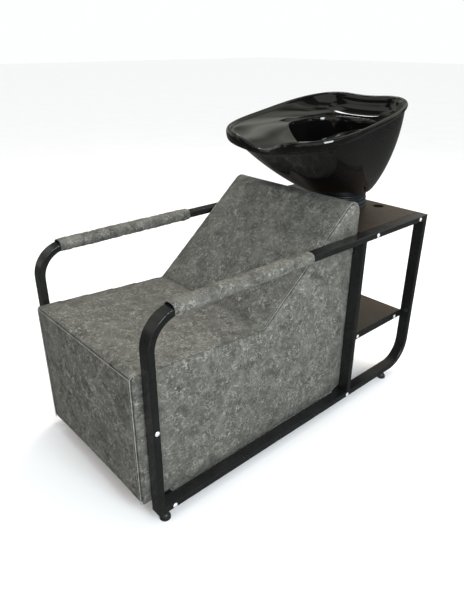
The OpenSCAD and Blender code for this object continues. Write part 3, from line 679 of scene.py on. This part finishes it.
def make_upholstery():
    left_side = remeshed("side_cover_left", side_form(), 6.5, 3)
    seat = remeshed("seat_cover", seat_form(), 6, 2)
    back = remeshed("back_cover", back_form(), 6, 2)
    front = remeshed("front_cover", front_form(), 6, 2)
    rear = remeshed("rear_cover", rear_form(), 7, 2)
    sleeve = sleeve_form("armrest_sleeve_left")
    lean = np.array([0, -BACK_LINE[1], BACK_LINE[0]])
    prepare_cloth(left_side, facing(left_side, (1, 0, 0), 0.6))
    prepare_cloth(seat, facing(seat, (0, 0, 1), 0.6))
    prepare_cloth(back, facing(back, lean, 0.6))
    prepare_cloth(front, facing(front, (0, -1, 0), 0.6))
    prepare_cloth(rear, facing(rear, (0, 1, 0), 0.6))
    y = in_mm(coordinates(sleeve))[:, 1]
    inner = (y > low("armrest_pad_left")[1] + 3) & (y < high("armrest_pad_left")[1] - 3)
    prepare_cloth(sleeve, inner, pressure=2.5, stiffness=18.0, slack=0.010)
    run_cloth([(left_side, 5), (seat, 6), (back, 6), (front, 4), (rear, 4), (sleeve, 1.2)])
    clear_of_frame(left_side)
    covers = [left_side, seat, back, front, rear]
    for obj in covers:
        subdivided(obj, 1)
    closed_sleeve(sleeve)
    right_side = mirrored(left_side, "side_cover_right")
    right_sleeve = mirrored(sleeve, "armrest_sleeve_right")
    stands_for = [
        (left_side, "side_pad_left"), (right_side, "side_pad_right"), (seat, "seat_cushion"),
        (back, "back_cushion"), (front, "front_pad"), (rear, "rear_pad"),
        (sleeve, "armrest_pad_left"), (right_sleeve, "armrest_pad_right"),
    ]
    for obj, node in stands_for:
        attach(obj, "frame_and_seat")
        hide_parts(node)


SEAM_START = 8
SEAM_SINK = 1.3
CROSS_SEAM_POINTS = 120


def nearest(outline, y, z):
    """The index of the outline's point nearest to a place."""
    return np.argmin(np.linalg.norm(outline - np.array([y, z]), axis=1))


def seam_path(x, inset, step=4.0):
    """The line on which a side cover is sewn on, from the front's foot over seat and back to the rear's."""
    outline = side_outline()
    outline = np.roll(outline, -nearest(outline, SEAT_FRONT[0], SIDE_Z + SEAM_START), axis=0)
    outline = outline[: nearest(outline, REAR_Y, SIDE_Z + SEAM_START) + 1]
    tangent = np.gradient(outline, axis=0)
    tangent /= np.linalg.norm(tangent, axis=1)[:, None]
    outward = np.stack([-tangent[:, 1], tangent[:, 0]], axis=1)
    outline = outline - outward * inset
    return along([(x, y, z) for y, z in outline], step)


def off_the_seat(path):
    """The parts of a side seam before and behind the seat, whose own edge is only folded over."""
    front = path[:, 1] < SEAT_FRONT[0] + 10
    return [path[front], path[~front & (path[:, 1] > CREASE[0] - 4)]]


def cross_seam(name, y, z, radius):
    """A sewn edge straight across the body."""
    path = [(x, y, z) for x in np.linspace(-SEAM_X, SEAM_X, CROSS_SEAM_POINTS)]
    return sweep(name, path, radius, 8, WELT)


def make_seams():
    """Sewn edges where the covers meet, as cords in a lighter leather that paints the highlight along them,
    and the row of stitches beside them.
    """
    made = []
    for side, word in ((1, "left"), (-1, "right")):
        welts = off_the_seat(seam_path(side * SEAM_X, 1.0))
        rows = off_the_seat(seam_path(side * (SEAM_X - 7), -0.1))
        for place, welt, row in zip(("front_", "back_"), welts, rows):
            made.append(sweep(place + "seam_" + word, welt, 1.2, 8, WELT))
            made.append(stitches(place + "stitches_" + word, row, THREAD))
    made.append(cross_seam("seat_front_seam", SEAT_FRONT[0] + SEAM_SINK, SEAT_FRONT[1] - SEAM_DROP, 1.0))
    made.append(cross_seam("rear_top_seam", REAR_Y - SEAM_SINK, REAR_SEAM_Z, 1.3))
    for obj in made:
        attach(obj, "frame_and_seat")


# ---- Frame ----

WELD_RADIUS = 12.0
WELD_BITE = 0.5
WELD_INSET = 3


def make_weld_fillets():
    """Ground weld fillets in the corner behind each middle post, under the top rail."""
    radius = WELD_RADIUS
    y, z = high("left_mid_post")[1] - WELD_BITE, high("left_mid_post")[2] + WELD_BITE
    turn = np.linspace(0, math.pi / 2, 9)
    arc = [(y + radius - radius * math.sin(t), z - radius + radius * math.cos(t)) for t in turn]
    outline = np.array([(y, z)] + arc)
    x0, x1 = low("left_mid_post")[0] + WELD_INSET, high("left_mid_post")[0] - WELD_INSET
    rings = np.array([[(x, a, b) for a, b in outline] for x in (x0, x1)])
    mesh = grid_mesh("weld_fillet_left", rings, close_rings=True, cap=True)
    left = new_object("weld_fillet_left", mesh, MATERIALS["frame_powder_coat"], smooth=False)
    for obj in (left, mirrored(left, "weld_fillet_right")):
        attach(obj, "frame_and_seat")


# ---- Basin ----

# The same shape as the CAD's ceramic_basin, which gives its width and foot.
RING_POINTS = 144
CORNER_CROWDING = 0.14
BASIN_HALF = high("ceramic_basin")[0]
BASIN_FRONT = 635.0
BASIN_WIDE = 880.0
BASIN_REAR = 1206.0
BASIN_EYE = (0.0, 960.0)
RIM_FRONT = 934.0
RIM_REAR = 1030.0
RIM_SWEEP = 1.15
LIP = 16
FRONT_LIP = 30
NECK_DIP = 46.0
NECK_HALF = 78.0
NECK_RECESS = 32.0
FRONT_SQUARE = 2.9
REAR_SQUARE = 5.5
REAR_TAPER = 0.23
REAR_DIP = 7.0
REAR_DIP_HALF = 80.0
NECK_Y = (low("pivot_bolts")[1] + high("pivot_bolts")[1]) / 2
FOOT_Y = NECK_Y - 18
FOOT_Z = low("ceramic_basin")[2]
FOOT_R = 120.0
LEDGE_Z = 950
LEDGE_SLOPE = 12
LEDGE_NOTCH = 58
LEDGE_NOTCH_HALF = 95
OPENING_EYE = 1012.0
OPENING_HALF = (146.0, 140.0)
OPENING_SQUARE = 2.7
FLOOR_Z = FOOT_Z + 16
FLOOR_Y = NECK_Y - 6
FLOOR_R = 62.0
DRAIN_R = 22.0
# Steps up the flank and down the inner and deep walls, as shares of their height.
FLANK_STEPS = (0.01, 0.04, 0.09, 0.16, 0.24, 0.33, 0.43, 0.54, 0.65, 0.76, 0.86, 0.94, 1)
INNER_STEPS = (0.04, 0.12, 0.22, 0.34, 0.46, 0.58, 0.7, 0.8, 0.88, 0.94)
DEEP_STEPS = (0.02, 0.06, 0.12, 0.2, 0.3, 0.4, 0.5, 0.6, 0.7, 0.8, 0.9, 0.97)
# Over the rim: how far in from its outline, and how far down as a share of the lip.
RIM_STEPS = (
    (7, 0.96), (2.5, 0.85), (0.6, 0.62), (0, 0.4), (0.8, 0.2), (3, 0.06), (6.5, 0), (11, 0.03), (15, 0.2),
)
# Round the ledge's inner edge: the scale of the opening, and how far down.
LEDGE_STEPS = ((1.015, 0.2), (0.995, 0.6), (0.975, 3))


def mixed(a, b, t):
    return a + (b - a) * t


def power(v, n):
    """One coordinate of a superellipse of exponent n, from the cosine or sine of its angle."""
    return np.sign(v) * np.abs(v) ** (2 / n)


def hump(x, half):
    """1 at the middle of the basin's width, and falling off to the sides."""
    return np.exp(-((x / half) ** 2))


class Basin:
    """The rings of the basin's skin: 0 degrees is the sitter's left, 90 the rear and 270 the neck rest."""

    def __init__(self):
        u = np.linspace(0, 2 * math.pi, RING_POINTS, endpoint=False)
        a = u - CORNER_CROWDING * np.sin(4 * u)
        self.c, self.s = np.cos(a), np.sin(a)
        self.front = self.s < 0
        self.frontness = (1 - self.s) / 2
        taper = 1 - REAR_TAPER * power(np.maximum(self.s, 0), REAR_SQUARE) ** 3
        x_front, x_rear = power(self.c, FRONT_SQUARE), power(self.c, REAR_SQUARE) * taper
        self.x = BASIN_HALF * np.where(self.front, x_front, x_rear)
        self.neck = np.where(self.front, hump(self.x, NECK_HALF), 0)
        y_front = BASIN_WIDE + (BASIN_WIDE - BASIN_FRONT) * power(self.s, FRONT_SQUARE)
        y_front = y_front + NECK_RECESS * self.neck
        y_rear = BASIN_WIDE + (BASIN_REAR - BASIN_WIDE) * power(self.s, REAR_SQUARE)
        self.y = np.where(self.front, y_front, y_rear)
        rise = np.maximum(0, (self.y - BASIN_FRONT) / (BASIN_REAR - BASIN_FRONT)) ** RIM_SWEEP
        rear_dip = np.where(self.front, 0, hump(self.x, REAR_DIP_HALF))
        self.z = mixed(RIM_FRONT, RIM_REAR, rise) - NECK_DIP * self.neck - REAR_DIP * rear_dip
        self.lip = LIP + FRONT_LIP * self.frontness ** 3 * (1 - 0.9 * self.neck)

    def rim(self, inward, drop):
        """The rim's outline, drawn in toward the basin's eye and lowered."""
        p = np.stack([self.x, self.y], axis=1)
        q = np.array(BASIN_EYE) - p
        p = p + inward * q / np.linalg.norm(q, axis=1)[:, None]
        return np.column_stack([p, self.z - drop])

    def flank(self, h):
        """The outside, at the share h of its height from the foot to the lip."""
        top = self.rim((7 + 36 * self.frontness ** 4)[:, None], self.lip)
        foot = self.disc(FOOT_R, FOOT_Y, FOOT_Z)
        g = mixed(math.sin(math.pi / 2 * h ** 0.8), h ** 0.85, self.frontness ** 1.5)[:, None]
        ring = mixed(foot, top, g)
        ring[:, 2] = mixed(foot[:, 2], top[:, 2], h)
        return ring

    def opening(self, scale, drop):
        """The edge where the ledge falls off into the deep basin, notched at its front."""
        x = OPENING_HALF[0] * power(self.c, OPENING_SQUARE)
        y = OPENING_HALF[1] * power(self.s, OPENING_SQUARE)
        notch = np.maximum(0, self.frontness * 2 - 1) ** 2 * hump(x, LEDGE_NOTCH_HALF)
        z = LEDGE_Z - LEDGE_SLOPE * self.frontness - LEDGE_NOTCH * notch - drop
        return np.column_stack([scale * x, OPENING_EYE + scale * y, z])

    def inner_wall(self, t):
        """The inside from the rim down to the ledge: steep at the rear and a long slope at the front."""
        top, low_edge = self.rim(17, 9), self.opening(1.03, 0)
        steep = (1 - self.frontness) ** 2
        g = mixed(t, t ** 4, steep)[:, None]
        ring = mixed(top, low_edge, g)
        ring[:, 2] = mixed(top[:, 2], low_edge[:, 2], t)
        return ring

    def deep(self, t):
        """The deep basin's wall, rounding into its floor."""
        top = self.opening(0.96, 6)
        floor = self.disc(FLOOR_R, FLOOR_Y, FLOOR_Z)
        ring = mixed(top, floor, t ** 2.2)
        ring[:, 2] = mixed(top[:, 2], FLOOR_Z, math.sin(math.pi / 2 * t))
        return ring

    def disc(self, radius, y, z):
        """A level circle."""
        return np.column_stack([radius * self.c, y + radius * self.s, np.full(RING_POINTS, z)])

    def rings(self):
        """Every ring, from the drain's underside out, up, over the rim and down the inside to the drain."""
        rings = [self.disc(DRAIN_R, NECK_Y, FOOT_Z), self.disc(60, NECK_Y - 8, FOOT_Z)]
        rings += [self.disc(114, FOOT_Y, FOOT_Z)]
        rings += [self.flank(h) for h in FLANK_STEPS]
        rings += [self.rim(inward, share * self.lip) for inward, share in RIM_STEPS]
        rings += [self.inner_wall(t) for t in INNER_STEPS]
        rings += [self.opening(scale, drop) for scale, drop in LEDGE_STEPS]
        rings += [self.deep(t) for t in DEEP_STEPS]
        rings += [self.disc(46, NECK_Y - 2, FLOOR_Z), self.disc(DRAIN_R + 2, NECK_Y, FLOOR_Z)]
        rings += [self.disc(DRAIN_R, NECK_Y, FLOOR_Z)]
        return np.array(rings)


def make_basin():
    mesh = grid_mesh("glazed_basin", Basin().rings(), close_rings=True, close_stack=True)
    basin = subdivided(new_object("glazed_basin", mesh, MATERIALS["black_glaze"]), 2)
    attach(basin, "tilting_basin")
    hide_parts("ceramic_basin")


BELLOWS_FOLDS = 4
FOLD_STEPS = 14
FOLD_DEPTH = 5.5
BELLOWS_TAPER = 7
BELLOWS_WALL = 3
BELLOWS_SIDES = 120
BELLOWS_END = 4


def make_bellows():
    """The ribbed rubber neck."""
    z0, z1 = low("neck_bellows")[2], high("neck_bellows")[2]
    r0 = high("neck_bellows")[0]
    count = BELLOWS_FOLDS * FOLD_STEPS
    profile = []
    for k in range(count + 1):
        t = k / count
        wave = (1 - math.cos(2 * math.pi * BELLOWS_FOLDS * t)) / 2
        profile.append((r0 - BELLOWS_TAPER * t - FOLD_DEPTH * wave ** 1.6, z0 + (z1 - z0) * t))
    profile += [(r - BELLOWS_WALL, z) for r, z in reversed(profile)]
    turn = np.linspace(0, 2 * math.pi, BELLOWS_SIDES, endpoint=False)
    rings = []
    for r, z in profile:
        rings.append(np.column_stack([r * np.cos(turn), NECK_Y + r * np.sin(turn), np.full(len(turn), z)]))
    mesh = grid_mesh("rubber_bellows", np.array(rings), close_rings=True, close_stack=True)
    obj = new_object("rubber_bellows", mesh, MATERIALS["black_rubber"])
    start = tuple(row_frame([0, NECK_Y, z0 + BELLOWS_END]))
    end = tuple(row_frame([0, NECK_Y, z1 - BELLOWS_END]))
    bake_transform(obj)
    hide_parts("neck_bellows")


# ---- Stage ----

# The photograph's camera: focal length in millimetres, place in metres, turn in degrees.
CAMERA_LENS = 32.20
CAMERA_PLACE = (1.2228, FRONT - 0.562, 1.205)
CAMERA_TURN = (64.1, -0.12, 48.06)


def make_camera():
    data = bpy.data.cameras.new("camera")
    data.sensor_width = 36
    data.lens = CAMERA_LENS
    obj = bpy.data.objects.new("camera", data)
    obj.location = CAMERA_PLACE
    obj.rotation_euler = tuple(math.radians(angle) for angle in CAMERA_TURN)
    SCENE.collection.objects.link(obj)
    SCENE.camera = obj


def area_light(name, place, aim, size, power_w, colour):
    data = bpy.data.lights.new(name, "AREA")
    data.shape = "RECTANGLE"
    data.size, data.size_y = size
    data.energy = power_w
    data.color = colour
    obj = bpy.data.objects.new(name, data)
    obj.location = place
    obj.rotation_euler = (Vector(aim) - Vector(place)).to_track_quat("-Z", "Y").to_euler()
    SCENE.collection.objects.link(obj)
    return obj


ROOM_PATCH_SCALE = 2.2
ROOM_PATCH_EDGE = (0.44, 0.56)
FLOOR_SEEN_GLOSSY = ((0.045, 0.05, 0.045, 1), (0.12, 0.125, 0.115, 1))
ROOM_SEEN_GLOSSY = ((0.04, 0.045, 0.035, 1), (0.62, 0.63, 0.56, 1))
FLOOR_REACH = 30.0


def dimmed_reflection(tree, shader, colours, target):
    """Lets glossy surfaces see this part of the studio only as dim patches, like a furnished room."""
    path = tree.nodes.new("ShaderNodeLightPath")
    is_world = target.node.type == "OUTPUT_WORLD"
    dark = tree.nodes.new("ShaderNodeBackground" if is_world else "ShaderNodeEmission")
    place = tree.nodes.new("ShaderNodeTexCoord")
    patches = tree.nodes.new("ShaderNodeTexNoise")
    patches.inputs["Scale"].default_value = ROOM_PATCH_SCALE
    patches.inputs["Detail"].default_value = 1.0
    ramp = tree.nodes.new("ShaderNodeValToRGB")
    for element, position, colour in zip(ramp.color_ramp.elements, ROOM_PATCH_EDGE, colours):
        element.position = position
        element.color = colour
    tree.links.new(place.outputs["Generated"], patches.inputs["Vector"])
    tree.links.new(patches.outputs["Fac"], ramp.inputs["Fac"])
    tree.links.new(ramp.outputs["Color"], dark.inputs["Color"])
    mix = tree.nodes.new("ShaderNodeMixShader")
    tree.links.new(path.outputs["Is Glossy Ray"], mix.inputs["Fac"])
    tree.links.new(shader, mix.inputs[1])
    tree.links.new(dark.outputs[0], mix.inputs[2])
    tree.links.new(mix.outputs[0], target)


def make_stage():
    """The pale floor, the studio round it and its three lights."""
    mesh = bpy.data.meshes.new("floor")
    far = FLOOR_REACH
    mesh.from_pydata([(-far, -far, 0), (far, -far, 0), (far, far, 0), (-far, far, 0)], [], [(0, 1, 2, 3)])
    f = Finish("pale_floor")
    speckle = f.ramp(f.noise(3, 3, 0.5), (0.3, (0.95, 0.95, 0.95, 1)), (0.7, (0.97, 0.97, 0.97, 1)))
    f.set(Base_Color=speckle, Roughness=0.9, Specular_IOR_Level=0.1)
    output = f.tree.nodes["Material Output"].inputs["Surface"]
    dimmed_reflection(f.tree, f.shader.outputs[0], FLOOR_SEEN_GLOSSY, output)
    floor = new_object("floor", mesh, f.material, smooth=False)
    world = bpy.data.worlds.new("studio")
    world.use_nodes = True
    background = world.node_tree.nodes["Background"]
    background.inputs["Color"].default_value = (0.99, 0.995, 1.0, 1)
    background.inputs["Strength"].default_value = 1.0
    output = world.node_tree.nodes["World Output"].inputs["Surface"]
    dimmed_reflection(world.node_tree, background.outputs[0], ROOM_SEEN_GLOSSY, output)
    SCENE.world = world
    SCENE.view_settings.view_transform = "Standard"
    area_light("window", (2.8, -0.5, 1.9), (0, 0, 0.5), (1.0, 1.6), 74, (0.86, 0.95, 1.0))
    soft = area_light("overhead", (-0.3, 1.3, 2.9), (0, 0, 0.4), (1.6, 1.6), 56, (1.0, 0.88, 0.72))
    soft.visible_glossy = False
    area_light("ceiling_lamp", (-1.3, 1.2, 3.0), (0, 0.3, 0.9), (0.22, 0.9), 9, (0.95, 0.97, 1.0))


make_camera()
make_stage()
dress_cad_nodes()
make_upholstery()
make_seams()
make_weld_fillets()
make_basin()
make_bellows()
